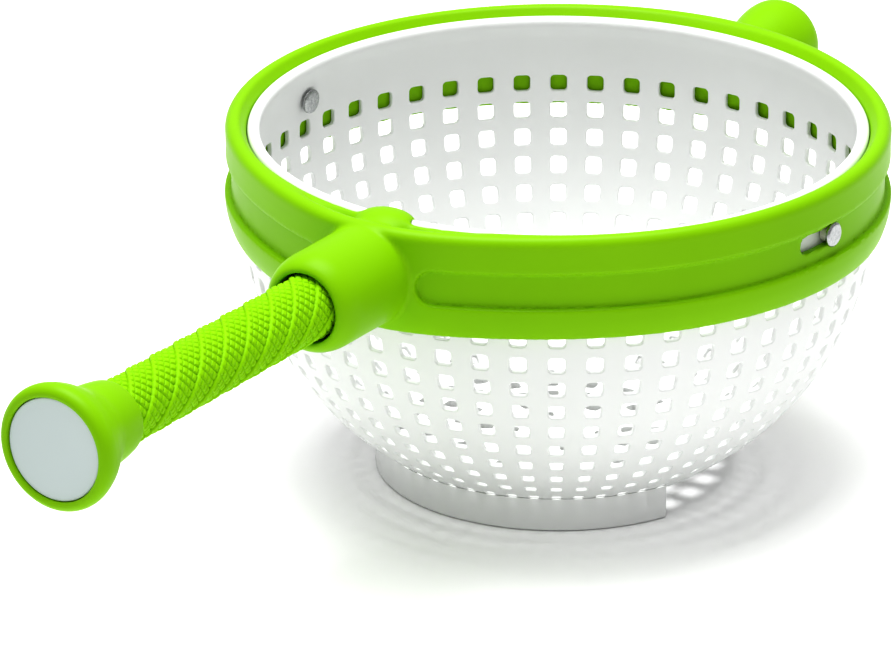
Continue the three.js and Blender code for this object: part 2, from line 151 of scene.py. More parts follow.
HUB_RADIUS = 19.6
HUB_END = 177.0
HUB_LIP = (5.0, 11.0)  # depth and length of its rounded outer edge
DOME_CENTRE = (-121.0, 0.0, 139.5)
DOME_SIZE = (10.0, 12.3, 5.6)
SOCKET_RADIUS = 13.9
SOCKET_FLOOR = 152.0
BORE_RADIUS = 6.3
BORE_FROM = 100.0
OUTER_SEAT = (9.3, 150.0)  # radius of the outer bush's seat and where it begins
INNER_SEAT = (8.3, 100.1, 132.3)  # radius of the inner bush's seat and where it begins and ends
KNOB_NECK = 13.0
KNOB_NECK_AT = 137.0
KNOB_HEAD = 17.4
KNOB_HEAD_AT = 163.0
KNOB_EDGE = 10.0
KNOB_END = RING_HIGH[0] - CENTRE_X
RING_STEP = 1.15  # grid the ring is worked out on

GRIP_RADIUS = 13.0
GRIP_FROM = CENTRE_X - SLEEVE_HIGH[0]
GRIP_TO = CENTRE_X - SLEEVE_LOW[0]
GRIP_BORE = 10.8
GRIP_INSET = 0.02
GRIP_STEP = 0.28
BANDS = 6  # wound side by side
BAND_PITCH = 15.2  # along the handle from one band to the next
BAND_PHASE = 0.32
BAND_DEPTH = 0.75
BAND_START = 0.1  # share of the band's height where the next one begins
BAND_TOP = 0.8  # share of a band's width where it is highest
BAND_EDGE = 0.84  # share of a band's width where its rounded edge begins
HATCH_END = 0.9  # share of a band's width past which the fine grooves are nearly gone
HATCH_LEFT = 0.2  # share of their depth that is left there
FINE_PER_BAND = 4
FINE_WIDTH = 0.18  # half width of a groove along the band, of the space between two
FINE_SHARE = 0.75  # depth of the grooves along the bands, of the crossing ones
CROSS_STARTS = 15
CROSS_PITCH = 4.4
CROSS_WIDTH = 0.2
KNURL_DEPTH = 0.8
END_DEPTH = 0.6  # how far the sleeve draws in at both ends
END_LENGTH = 1.5
CAP_FROM = CENTRE_X - CAP_HIGH[0]
CAP_TO = CENTRE_X - CAP_LOW[0]
DISC_BACK = CENTRE_X - DISC_HIGH[0]
DISC_FACE = CENTRE_X - DISC_LOW[0]
CAP_MOUTH = 13.4
CAP_COLLAR = 15.0
CAP_WAIST = 16.2
CAP_FLARE = 23.6
CAP_RIM = 21.6
CAP_FLOOR = CAP_TO - 18.7
CAP_FLOOR_THICK = 4.0
SCREW_HOLE = 2.3
DISC_RADIUS = 19.8
DISC_DISH = 0.45

WORLD_STRENGTH = 0.38
LIGHT_PLACE = (0.1, 0.2, 2.4)  # metres
LIGHT_SIZE = (1.7, 1.7)
LIGHT_POWER = 64
CAMERA_OFFSET = (-2.8693, -1.8205, 1.4406)  # metres from the bowl's axis at the floor
CAMERA_TILT = 67.83  # degrees from looking straight down
CAMERA_TURN = -56.88  # degrees about +Z
CAMERA_LENS = 378.4


# ---- Materials ----


def new_material(name):
    """A material with its node list, its links and its shader."""
    material = bpy.data.materials.new(name)
    material.use_nodes = True
    nodes = material.node_tree.nodes
    return material, nodes, material.node_tree.links, nodes["Principled BSDF"]


def noise(nodes, links, scale, detail=3.0, stretch=(1, 1, 1)):
    """A noise texture in the object's own coordinates, with scale given in features a metre."""
    place = nodes.new("ShaderNodeTexCoord")
    mapping = nodes.new("ShaderNodeMapping")
    mapping.inputs["Scale"].default_value = stretch
    texture = nodes.new("ShaderNodeTexNoise")
    texture.inputs["Scale"].default_value = scale
    texture.inputs["Detail"].default_value = detail
    links.new(place.outputs["Object"], mapping.inputs["Vector"])
    links.new(mapping.outputs["Vector"], texture.inputs["Vector"])
    return texture


def ramp(nodes, links, source, low, high, start=0.3, end=0.7):
    """A colour that runs from low to high with the texture."""
    node = nodes.new("ShaderNodeValToRGB")
    node.color_ramp.elements[0].position = start
    node.color_ramp.elements[1].position = end
    node.color_ramp.elements[0].color = (*low, 1)
    node.color_ramp.elements[1].color = (*high, 1)
    links.new(source.outputs["Fac"], node.inputs["Fac"])
    return node


def spread(nodes, links, source, low, high):
    """A number that runs from low to high with the texture."""
    node = nodes.new("ShaderNodeMapRange")
    node.inputs["To Min"].default_value = low
    node.inputs["To Max"].default_value = high
    links.new(source.outputs["Fac"], node.inputs["Value"])
    return node


def bump(nodes, links, shader, source, height, strength):
    """Fine relief, its height in metres."""
    node = nodes.new("ShaderNodeBump")
    node.inputs["Strength"].default_value = strength
    node.inputs["Distance"].default_value = height
    links.new(source.outputs["Fac"], node.inputs["Height"])
    links.new(node.outputs["Normal"], shader.inputs["Normal"])


def plastic(name, dark, light, rough, grain, refraction=1.45):
    """Moulded plastic: slow colour drift, uneven gloss and a fine grain.

    The grain is given as its features a metre and its height in metres.
    """
    material, nodes, links, shader = new_material(name)
    drift = noise(nodes, links, scale=14)
    colour = ramp(nodes, links, drift, dark, light)
    links.new(colour.outputs["Color"], shader.inputs["Base Color"])
    haze = noise(nodes, links, scale=90, detail=5)
    links.new(spread(nodes, links, haze, *rough).outputs["Result"], shader.inputs["Roughness"])
    features, height = grain
    texture = noise(nodes, links, scale=features, detail=2)
    bump(nodes, links, shader, texture, height, strength=0.35)
    shader.inputs["IOR"].default_value = refraction
    return material


def steel(name, stretch):
    """Turned stainless steel, with fine tool marks drawn out by the stretch."""
    material, nodes, links, shader = new_material(name)
    marks = noise(nodes, links, scale=900, detail=4, stretch=stretch)
    colour = ramp(nodes, links, marks, (0.34, 0.35, 0.35), (0.48, 0.49, 0.49))
    links.new(colour.outputs["Color"], shader.inputs["Base Color"])
    links.new(spread(nodes, links, marks, 0.18, 0.34).outputs["Result"], shader.inputs["Roughness"])
    bump(nodes, links, shader, marks, height=0.00003, strength=0.3)
    shader.inputs["Metallic"].default_value = 1.0
    return material


WHITE = plastic("white_moulded", (0.75, 0.76, 0.75), (0.79, 0.8, 0.79), (0.32, 0.42), (2600, 0.00004), 1.3)
GREEN = plastic(
    "green_moulded", (0.215, 0.475, 0.002), (0.23, 0.505, 0.003), (0.34, 0.44), (2200, 0.00005), 1.2
)
GRIP = plastic("green_knurled", (0.24, 0.53, 0.002), (0.27, 0.6, 0.003), (0.45, 0.58), (3200, 0.00006), 1.16)
GREY = plastic("grey_satin", (0.52, 0.59, 0.58), (0.55, 0.62, 0.61), (0.42, 0.5), (3000, 0.00003))
CORE = plastic("core_moulded", (0.03, 0.03, 0.03), (0.05, 0.05, 0.05), (0.5, 0.6), (1800, 0.00006))
BEARING = plastic("bearing_turned", (0.56, 0.54, 0.49), (0.62, 0.6, 0.55), (0.45, 0.6), (2400, 0.00004))
STEEL = steel("steel_turned", (1, 1, 1))


# ---- Meshes ----


def add_piece(name, points, faces, material, body, replaced, sharp=35.0):
    """A closed mesh from points in millimetres, creased where it turns by more than sharp degrees."""
    coords = np.asarray(points, float) + (CENTRE_X, 0, 0)
    mesh = bpy.data.meshes.new(name)
    mesh.from_pydata((coords / 1000).tolist(), [], faces)
    piece = bpy.data.objects.new(name, mesh)
    bpy.context.scene.collection.objects.link(piece)
    edit = bmesh.new()
    edit.from_mesh(mesh)
    bmesh.ops.remove_doubles(edit, verts=edit.verts, dist=WELD / 1000)
    bmesh.ops.recalc_face_normals(edit, faces=edit.faces)
    edit.to_mesh(mesh)
    edit.free()
    mesh.shade_smooth()
    mesh.set_sharp_from_angle(angle=math.radians(sharp))
    mesh.materials.append(material)
    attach(piece, body)
    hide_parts(*replaced)
    return piece


def rounded(corners, radii, steps=4):
    """The outline with each corner turned into an arc-like curve; radius 0 keeps the corner."""
    outline = []
    count = len(corners)
    for i, corner in enumerate(corners):
        radius = radii[i]
        corner = np.array(corner, float)
        if radius == 0:
            outline.append(corner)
            continue
        before = np.array(corners[i - 1], float) - corner
        after = np.array(corners[(i + 1) % count], float) - corner
        reach = min(radius, np.linalg.norm(before) / 2, np.linalg.norm(after) / 2)
        start = corner + before / np.linalg.norm(before) * reach
        end = corner + after / np.linalg.norm(after) * reach
        for k in range(steps + 1):
            t = k / steps
            outline.append((1 - t) ** 2 * start + 2 * t * (1 - t) * corner + t * t * end)
    return outline


def bezier(start, first, second, end, steps=12):
    """Points of a cubic curve, both ends included."""
    t = np.linspace(0, 1, steps + 1)[:, None]
    start, first, second, end = (np.array(p, float) for p in (start, first, second, end))
    near = (1 - t) ** 3 * start + 3 * t * (1 - t) ** 2 * first
    far = 3 * t**2 * (1 - t) * second + t**3 * end
    return list(near + far)


def turn(outline, segments):
    """Points and faces of a closed outline, or one that starts and ends on the axis, turned about +Z."""
    on_axis = outline[0][0] < 1e-9
    points, faces, columns = [], [], []
    for step in range(segments):
        angle = 2 * math.pi * step / segments
        column = []
        for radius, along in outline:
            column.append(len(points))
            points.append((radius * math.cos(angle), radius * math.sin(angle), along))
        columns.append(column)
    last = len(outline) - 1 if on_axis else len(outline)
    for step in range(segments):
        here, there = columns[step], columns[(step + 1) % segments]
        for i in range(last):
            j = (i + 1) % len(outline)
            face = [here[i], there[i], there[j], here[j]]
            if on_axis and i == 0:
                face = [columns[0][0], there[j], here[j]]
            if on_axis and j == len(outline) - 1:
                face = [here[i], there[i], columns[0][j]]
            faces.append(face)
    return np.array(points), faces


def along_handle(points):
    """Turned points, whose height is the distance from the bowl's axis, laid along the handle."""
    return np.stack([-points[:, 2], points[:, 0], points[:, 1] + AXIS_Z], axis=1)


def through_wall(points, angle, z):
    """Turned points, whose height is the distance from the bowl's axis, laid radially at an angle."""
    turn_by = math.radians(angle)
    out, side = points[:, 2], points[:, 0]
    x = out * math.cos(turn_by) - side * math.sin(turn_by)
    y = out * math.sin(turn_by) + side * math.cos(turn_by)
    return np.stack([x, y, points[:, 1] + z], axis=1)


# ---- Basket ----


def wall_radius(z, offset):
    """The wall's radius at a height; offset 0 is inside and WALL outside."""
    half = np.where(np.asarray(z) > WIDEST_Z, LEAN_HEIGHT, BOWL_DEPTH) + offset
    return (BOWL_RADIUS + offset) * np.sqrt(1 - ((z - WIDEST_Z) / half) ** 2)


def wall_point(turn_by, below, offset):
    """A point of the bowl's wall: turn_by and below are in degrees, offset 0 is inside and WALL outside."""
    depth = BOWL_DEPTH if below >= 0 else LEAN_HEIGHT
    angle = math.radians(below if below >= 0 else below * BOWL_DEPTH / LEAN_HEIGHT)
    radius = (BOWL_RADIUS + offset) * math.cos(angle)
    z = WIDEST_Z - (depth + offset) * math.sin(angle)
    turn_by = math.radians(turn_by)
    return radius * math.cos(turn_by), radius * math.sin(turn_by), z


def cell_outline():
    """The square cell's boundary, from -1 to 1 each way, starting at a corner."""
    side = [-1 + 2 * k / SIDE_POINTS for k in range(SIDE_POINTS)]
    outline = [(s, -1) for s in side]
    outline += [(1, s) for s in side]
    outline += [(-s, 1) for s in side]
    outline += [(-1, -s) for s in side]
    return outline


def hole_outline(half_width, half_height, corner):
    """A rounded rectangle whose points face those of the cell's boundary."""
    outline = []
    for x_sign, y_sign, first in ((-1, -1, 180), (1, -1, 270), (1, 1, 0), (-1, 1, 90)):
        middle = (x_sign * (half_width - corner), y_sign * (half_height - corner))
        for k in range(SIDE_POINTS):
            angle = math.radians(first + 90 * k / (SIDE_POINTS - 1))
            outline.append((middle[0] + corner * math.cos(angle), middle[1] + corner * math.sin(angle)))
    half = SIDE_POINTS // 2
    return outline[half:] + outline[:half]


def joined(faces, first, second, count):
    """Quads between two loops of the same length."""
    for k in range(count):
        n = (k + 1) % count
        faces.append([first + k, first + n, second + n, second + k])


def wall_cell(points, faces, column, row):
    """One cell of the wall: inner and outer skin round a hole with small bevels at both ends."""
    turn_by = FIRST_COLUMN - column * 360 / COLUMNS
    below = row * ROW_STEP
    half_turn = 180 / COLUMNS
    half_step = ROW_STEP / 2
    down_by = math.radians(below)
    width = BOWL_RADIUS * math.cos(down_by) * math.radians(half_turn)
    height = math.hypot(BOWL_RADIUS * math.sin(down_by), BOWL_DEPTH * math.cos(down_by))
    height *= math.radians(half_step)
    half_width = width * HOLE_WIDTH_SHARE
    half_height = min(height * HOLE_HEIGHT_SHARE, half_width * TALLEST_HOLE)
    corner = half_width * CORNER_SHARE
    hole = hole_outline(half_width, half_height, corner)
    mouth = hole_outline(half_width + HOLE_BEVEL, half_height + HOLE_BEVEL, corner + HOLE_BEVEL)
    cell = [(a * width, b * height) for a, b in cell_outline()]
    inner_loops = [(cell, 0), (mouth, 0), (hole, HOLE_BEVEL)]
    outer_loops = [(hole, WALL - HOLE_BEVEL), (mouth, WALL), (cell, WALL)]
    loops = inner_loops + outer_loops
    count = len(cell)
    start = len(points)
    for outline, offset in loops:
        for across, down in outline:
            place = (turn_by - across / width * half_turn, below + down / height * half_step)
            points.append(wall_point(*place, offset))
    for k in range(len(loops) - 1):
        joined(faces, start + k * count, start + (k + 1) * count, count)


def circle(points, radius, z):
    """A full circle of points that lie on the cells' corners and the points between them."""
    start = len(points)
    count = COLUMNS * SIDE_POINTS
    for k in range(count):
        angle = math.radians(FIRST_COLUMN + 180 / COLUMNS + 360 * k / count)
        points.append((radius * math.cos(angle), radius * math.sin(angle), z))
    return start


def bands(points, faces, outline):
    """Plain turned bands between the cells, the rim and the floor."""
    count = COLUMNS * SIDE_POINTS
    rows = [circle(points, radius, z) for radius, z in outline]
    for first, second in zip(rows, rows[1:]):
        joined(faces, first, second, count)


def rim_outline():
    """Up the inside of the plain wall above the holes, over the rim's round top and down the outside."""
    inner, outer = wall_point(0, -ROW_STEP / 2, 0), wall_point(0, -ROW_STEP / 2, WALL)
    half = (RIM_OUTER - RIM_INNER) / 2
    middle = (RIM_INNER + half, RIM_TOP - half)
    share, drop = RIM_TUCK
    outline = [(inner[0], inner[2])]
    outline += [(float(wall_radius(z, 0)), z) for z in RIM_BAND]
    outline.append((middle[0] - share * half, middle[1] - drop))
    for k in range(RIM_STEPS + 1):
        angle = math.pi * RIM_SWEEP * (1 - k / RIM_STEPS)
        outline.append((middle[0] + half * math.cos(angle), middle[1] + half * math.sin(angle)))
    outline += [(float(wall_radius(z, WALL)), z) for z in (RIM_UNDER, *RIM_BAND[::-1])]
    outline.append((outer[0], outer[2]))
    return outline


def floor_cell(points, faces, ring, index):
    """One cell of the floor: a sector with a rounded hole, skinned above and below."""
    outer, inner, count, size = ring
    middle = (outer + inner) / 2
    centre = math.radians(FIRST_COLUMN + 180 / COLUMNS + 360 * (index + 0.5) / count)
    half = math.pi / count
    steps = COLUMNS * SIDE_POINTS // count
    sector = [(outer, centre - half + 2 * half * k / steps) for k in range(steps + 1)]
    sector += [(inner, centre + half - 2 * half * k / steps) for k in range(steps + 1)]
    hole = [(middle + v, centre + u / middle) for u, v in hole_outline(size / 2, size / 2, size / 4)]
    flat = [[Vector((r * math.cos(a), r * math.sin(a), 0)) for r, a in loop] for loop in (sector, hole)]
    triangles = tessellate_polygon(flat)
    together = flat[0] + flat[1]
    start = len(points)
    for z in (FLOOR_TOP, FLOOR_UNDER):
        points.extend((p.x, p.y, z) for p in together)
    for a, b, c in triangles:
        faces.append([start + a, start + b, start + c])
        faces.append([start + len(together) + c, start + len(together) + b, start + len(together) + a])
    joined(faces, start + len(sector), start + len(together) + len(sector), len(hole))


def floor_middle(points, faces):
    """The plain middle of the floor."""
    radius = FLOOR_RINGS[-1][1]
    count = COLUMNS * SIDE_POINTS
    for z in (FLOOR_TOP, FLOOR_UNDER):
        start = circle(points, radius, z)
        points.append((0, 0, z))
        for k in range(count):
            faces.append([start + k, start + (k + 1) % count, start + count])


def foot_arc(points, faces, middle, half):
    """An upright skirt along an arc, its ends rounded and its lower edge eased."""
    thick = (FOOT_OUTER - FOOT_INNER) / 2
    centre = (FOOT_OUTER + FOOT_INNER) / 2
    end_angle = math.degrees(thick / centre)
    plain = half - end_angle
    ending = []
    for k in range(FOOT_END_STEPS + 1):
        angle = math.radians(90 * k / FOOT_END_STEPS)
        reach = thick * max(math.cos(angle), FOOT_END_SHARE)
        ending.append((plain + end_angle * math.sin(angle), reach))
    between = [(plain * (2 * k / FOOT_STEPS - 1), thick) for k in range(1, FOOT_STEPS)]
    turns = [(-angle, reach) for angle, reach in reversed(ending)] + between + ending
    start = len(points)
    for angle, reach in turns:
        turn_by = math.radians(middle + angle)
        eased = min(FOOT_EASE, reach * 0.4)
        section = [(centre - reach + eased, 0), (centre + reach - eased, 0), (centre + reach, eased),
                   (centre + reach, FOOT_TOP), (centre - reach, FOOT_TOP), (centre - reach, eased)]
        points.extend((r * math.cos(turn_by), r * math.sin(turn_by), z) for r, z in section)
    count = len(section)
    for k in range(len(turns) - 1):
        joined(faces, start + k * count, start + (k + 1) * count, count)
    faces.append([start + k for k in range(count)])
    faces.append([start + (len(turns) - 1) * count + k for k in range(count)])


def make_basket():
    """The white bowl with its holes, rim, floor and foot."""
    points, faces = [], []
    for row in range(ROWS):
        for column in range(COLUMNS):
            wall_cell(points, faces, column, row)
    bands(points, faces, rim_outline())
    last = (ROWS - 0.5) * ROW_STEP
    inside, outside = wall_point(0, last, 0), wall_point(0, last, WALL)
    bands(points, faces, [(inside[0], inside[2]), FLOOR_BEND_INSIDE, (FLOOR_RADIUS, FLOOR_TOP)])
    bands(points, faces, [(outside[0], outside[2]), FLOOR_BEND_OUTSIDE, (FLOOR_RADIUS, FLOOR_UNDER)])
    for ring in FLOOR_RINGS:
        for index in range(ring[2]):
            floor_cell(points, faces, ring, index)
    floor_middle(points, faces)
    for middle, half in FOOT_ARCS:
        foot_arc(points, faces, middle, half)
    return add_piece("bowl", points, faces, WHITE, "basket", ["basket"])


# ---- Ring, hub and knob: one moulding, worked out as a field of distances ----


def outline_distance(r, z, outline):
    """Signed distance, negative inside, of points from a closed outline of (radius, height)."""
    nearest = np.full(r.shape, np.inf)
    inside = np.zeros(r.shape, bool)
    corners = np.array(outline, float)
    for (ar, az), (br, bz) in zip(corners, np.roll(corners, -1, axis=0)):
        er, ez = br - ar, bz - az
        t = np.clip(((r - ar) * er + (z - az) * ez) / (er * er + ez * ez), 0, 1)
        nearest = np.minimum(nearest, (r - ar - t * er) ** 2 + (z - az - t * ez) ** 2)
        if ez != 0:
            inside ^= ((az > z) != (bz > z)) & (r < ar + (z - az) * er / ez)
    return np.where(inside, -1, 1) * np.sqrt(nearest)


def join(a, b, round_by):
    """The union of two fields, its inner corner filled by about a quarter of round_by."""
    h = np.clip(0.5 + 0.5 * (b - a) / round_by, 0, 1)
    return b + (a - b) * h - round_by * h * (1 - h)


def cut(a, b, round_by):
    """Field a with field b taken away, the cut's edge eased."""
    return -join(-a, b, round_by)


def smoothstep(x, low, high):
    """0 up to low, 1 from high on, with an easy slope between."""
    t = np.clip((x - low) / (high - low), 0, 1)
    return t * t * (3 - 2 * t)


def clear_outline():
    """The ring's inner face, one gap clear of the bowl's wall and rim."""
    heights = np.linspace(RING_BOTTOM, LIP_Z, 14)
    return [(max(float(wall_radius(z, WALL)), RIM_OUTER) + GAP, float(z)) for z in heights]


def ring_outline():
    """The ring's section: lower bead, upper bead, round crest, then down its inner face."""
    outline = [(126.1, RING_BOTTOM), RING_FOOT]
    outline += bezier(RING_FOOT, (128.0, 106), (129.2, 109.5), (BEAD_RADIUS, 114), 8)[1:]
    outline += RING_SIDE
    radius, z, round_by = CREST
    for k in range(11):
        angle = math.radians(12 * k)
        outline.append((radius + round_by * math.cos(angle), z + round_by * math.sin(angle)))
    return outline + clear_outline()[::-1]


def space_outline():
    """Section of the space that belongs to the bowl, up to the lip behind its rim."""
    inner = RIM_INNER - GAP
    top = RIM_TOP + GAP
    below, beside, lid = 60, 124, 137
    start = [(0, below), (beside, below)]
    over_rim = [(RIM_OUTER + GAP, top), (inner, top), (inner, lid), (0, lid)]
    return start + clear_outline() + over_rim


RING_OUTLINE = ring_outline()
SPACE_OUTLINE = space_outline()


def hub_outline():
    """Half section of the hub, as radius and distance from the bowl's axis."""
    depth, length = HUB_LIP
    outline = [(0, RIM_OUTER), (HUB_RADIUS, RIM_OUTER)]
    for k in range(13):
        angle = math.radians(7.5 * k)
        radius = HUB_RADIUS - depth + depth * math.cos(angle)
        outline.append((radius, HUB_END - length + length * math.sin(angle)))
    return outline + [(0, HUB_END)]


HUB_OUTLINE = hub_outline()


def rod_field(rho, along, radius, end, edge):
    """A round bar with a rounded end."""
    out = rho - (radius - edge)
    past = along - (end - edge)
    return np.hypot(np.maximum(out, 0), np.maximum(past, 0)) + np.minimum(np.maximum(out, past), 0) - edge


def dome_field(x, y, z):
    """The low dome that carries the hub's top over the bowl's rim."""
    size = np.array(DOME_SIZE)
    centre = np.array(DOME_CENTRE)
    offset = (np.stack([x, y, z]) - centre[:, None]) / size[:, None]
    first = np.sqrt((offset**2).sum(0))
    second = np.sqrt(((offset / size[:, None]) ** 2).sum(0))
    return first * (first - 1) / np.maximum(second, 1e-6)


def groove_field(r, depth_at, z, from_axis):
    """The channel round the outside, its ends half circles just short of the hub and the knob."""
    middle = (GROOVE_LOW + GROOVE_HIGH) / 2
    half = (GROOVE_HIGH - GROOVE_LOW) / 2
    past_end = np.maximum(np.radians(GROOVE_END - from_axis) * r, 0)
    return np.maximum(np.hypot(past_end, z - middle) - half, GROOVE_RADIUS - depth_at)


def slot_field(x, y, r, z, angle):
    """A slot through the ring, from a pin's angle back by the twist."""
    turned = np.degrees(np.arctan2(y, x)) - (angle - TWIST / 2)
    turned = (turned + 180) % 360 - 180
    past_end = np.radians(np.maximum(np.abs(turned) - TWIST / 2, 0)) * r
    return np.maximum(np.hypot(past_end, z - PIN_Z) - SLOT_HALF, r - GROOVE_RADIUS - SLOT_OUT)


def bore_field(rho, along):
    """The socket for the grip and the seats of the two bushes."""
    socket = np.maximum(rho - SOCKET_RADIUS, SOCKET_FLOOR - along)
    bore = np.maximum(rho - BORE_RADIUS, BORE_FROM - along)
    radius, begin = OUTER_SEAT
    outer_seat = np.maximum(rho - radius, begin - along)
    radius, begin, end = INNER_SEAT
    inner_seat = np.maximum(np.abs(along - (begin + end) / 2) - (end - begin) / 2, rho - radius)
    return np.minimum(np.minimum(socket, bore), np.minimum(outer_seat, inner_seat))


def ring_field(place):
    """Signed distance, roughly, from the ring's surface; negative inside the plastic."""
    x, y, z = place
    r = np.hypot(x, y)
    from_axis = np.degrees(np.arctan2(np.abs(y), np.abs(x)))
    swell = np.where(x < 0, SWELL_HUB, SWELL_KNOB) * np.exp(-((from_axis / SWELL_WIDTH) ** 2))
    flat = r
    for _ in range(3):
        flat = r - swell * smoothstep(flat, SWELL_FROM, SWELL_FULL)
    ring = outline_distance(flat, z, RING_OUTLINE)
    rho = np.hypot(y, z - AXIS_Z)
    hub = join(outline_distance(rho, -x, HUB_OUTLINE), dome_field(x, y, z), DOME_FILLET)
    knob_radius = KNOB_NECK + (KNOB_HEAD - KNOB_NECK) * smoothstep(x, KNOB_NECK_AT, KNOB_HEAD_AT)
    knob = np.maximum(rod_field(rho, x, knob_radius, KNOB_END, KNOB_EDGE), RIM_OUTER - x)
    arms = np.where(x < 0, hub, knob)
    field = join(ring, arms, np.where(x < 0, HUB_FILLET, KNOB_FILLET))
    field = np.maximum(field, -outline_distance(r, z, SPACE_OUTLINE))
    field = cut(field, groove_field(r, flat, z, from_axis), GROOVE_EASE)
    for angle in PIN_ANGLES.values():
        field = cut(field, slot_field(x, y, r, z, angle), SLOT_EASE)
    return cut(field, bore_field(rho, -x), BORE_EASE)


def sampled_field(low, step, shape):
    """The field on a grid; points that can't be near the surface are set well outside it."""
    well_outside = 5.0
    inner, outer, arm = 110, 142, 24
    values = np.full(shape, well_outside, np.float32)
    xs, ys, zs = (low[i] + step * np.arange(shape[i]) for i in range(3))
    for i, x in enumerate(xs):
        y, z = np.meshgrid(ys, zs, indexing="ij")
        r = np.hypot(x, y)
        near = (r > inner) & (r < outer) | (r >= outer) & (np.abs(y) < arm)
        place = np.stack([np.full(near.sum(), x), y[near], z[near]])
        slab = values[i]
        if place.shape[1]:
            slab[near] = ring_field(place)
    return values


CUBE = [(a, b, c) for a in (0, 1) for b in (0, 1) for c in (0, 1)]


def surface_net(values, low, step):
    """A quad mesh of the surface where the grid's values change sign."""
    inside = values < 0
    corners = [inside[a : a + inside.shape[0] - 1, b : b + inside.shape[1] - 1, c : c + inside.shape[2] - 1]
               for a, b, c in CUBE]
    total = sum(c.astype(np.int8) for c in corners)
    active = (total > 0) & (total < 8)
    cells = np.argwhere(active)
    number = np.full(active.shape, -1, np.int64)
    number[tuple(cells.T)] = np.arange(len(cells))
    place_sum = np.zeros((len(cells), 3))
    crossings = np.zeros(len(cells))
    for a in range(8):
        for b in range(a + 1, 8):
            first, second = np.array(CUBE[a]), np.array(CUBE[b])
            if np.abs(first - second).sum() != 1:
                continue
            va = values[tuple((cells + first).T)]
            vb = values[tuple((cells + second).T)]
            crossed = (va < 0) != (vb < 0)
            t = np.where(crossed, va / np.where(crossed, va - vb, 1), 0)
            place_sum[crossed] += (cells + first + (second - first) * t[:, None])[crossed]
            crossings += crossed
    points = low + step * place_sum / crossings[:, None]
    faces = []
    for axis in range(3):
        shift = np.zeros(3, int)
        shift[axis] = 1
        u, v = np.eye(3, dtype=int)[(axis + 1) % 3], np.eye(3, dtype=int)[(axis + 2) % 3]
        ends = [slice(1, -1)] * 3
        here = inside[tuple(ends)]
        there = inside[tuple(slice(1 + s, values.shape[i] - 1 + s) for i, s in enumerate(shift))]
        for nodes, flip in ((here & ~there, False), (~here & there, True)):
            at = np.argwhere(nodes) + 1
            quad = np.stack([number[tuple((at - o).T)] for o in (0 * u, u, u + v, v)], axis=1)
            faces.append(quad[:, ::-1] if flip else quad)
    return points, np.concatenate(faces)


def pulled_to_surface(points, field, rounds=4, reach=0.8):
    """Moves points along the field's gradient onto its surface."""
    delta = 0.02
    for _ in range(rounds):
        value = field(points.T)
        slopes = [field((points + step).T) - field((points - step).T) for step in np.eye(3) * delta]
        gradient = np.stack(slopes, axis=1) / (2 * delta)
        size = np.maximum((gradient**2).sum(1), 0.05)
        move = -value[:, None] * gradient / size[:, None]
        length = np.linalg.norm(move, axis=1, keepdims=True)
        points = points + move * np.minimum(1, reach / np.maximum(length, 1e-9))
    return points


def make_ring():
    """The green ring with its hub and knob."""
    step = RING_STEP
    side, top = 140.0, 149.0
    low = np.array([-HUB_END - 3.0, -side, RING_BOTTOM - 4.0])
    high = np.array([KNOB_END + 3.0, side, top])
    shape = tuple(np.ceil((high - low) / step).astype(int) + 1)
    values = sampled_field(low, step, shape)
    points, faces = surface_net(values, low, step)
    points = pulled_to_surface(points, ring_field)
    faces = faces.tolist()
    return add_piece("ring", points, faces, GREEN, "ring", ["ring_frame"], sharp=60)


# ---- Pins ----


def make_pin(side, angle):
    """A rivet with a bevelled outer head."""
    seat = float(wall_radius(PIN_Z, WALL)) - WALL - PIN_INSIDE
    face = GROOVE_RADIUS + GAP
    top = face + PIN_HEAD_THICK
    corners = [(0, seat), (PIN_RADIUS, seat), (PIN_RADIUS, face), (PIN_HEAD, face), (PIN_HEAD, top - 0.7),
               (PIN_HEAD - 0.8, top), (0, top)]
    points, faces = turn(rounded(corners, [0, 0.2, 0, 0.15, 0.25, 0.4, 0], 3), 48)
    node = f"guide_pin_{side}"
    add_piece(f"pin_{side}", through_wall(points, angle, PIN_Z), faces, STEEL, "basket", [node])


def make_cap(side, angle):
    """The rivet's domed inner head."""
    low, high = node_box(f"pin_cap_{side}")
    seat = max(abs(low[1]), abs(high[1]))
    top = seat - CAP_HEAD_THICK
    bore = PIN_RADIUS + GAP
    head = [(0, top), (PIN_HEAD - 1.2, top), (PIN_HEAD, top + 0.5), (PIN_HEAD, seat), (bore, seat)]
    hollow = [(bore, seat - CAP_HOLLOW), (0, seat - CAP_HOLLOW)]
    points, faces = turn(rounded(head, [0, 0.6, 0.4, 0.2, 0.1], 3) + hollow, 48)
    node = f"pin_cap_{side}"
    add_piece(f"cap_{side}", through_wall(points, angle, PIN_Z), faces, STEEL, "basket", [node])


# ---- Handle ----


def valley(phase, width):
    """1 in the middle of a narrow groove at each whole number of the phase, 0 away from it."""
    off = np.abs((phase + 0.5) % 1 - 0.5)
    return np.clip(1 - off / width, 0, 1)


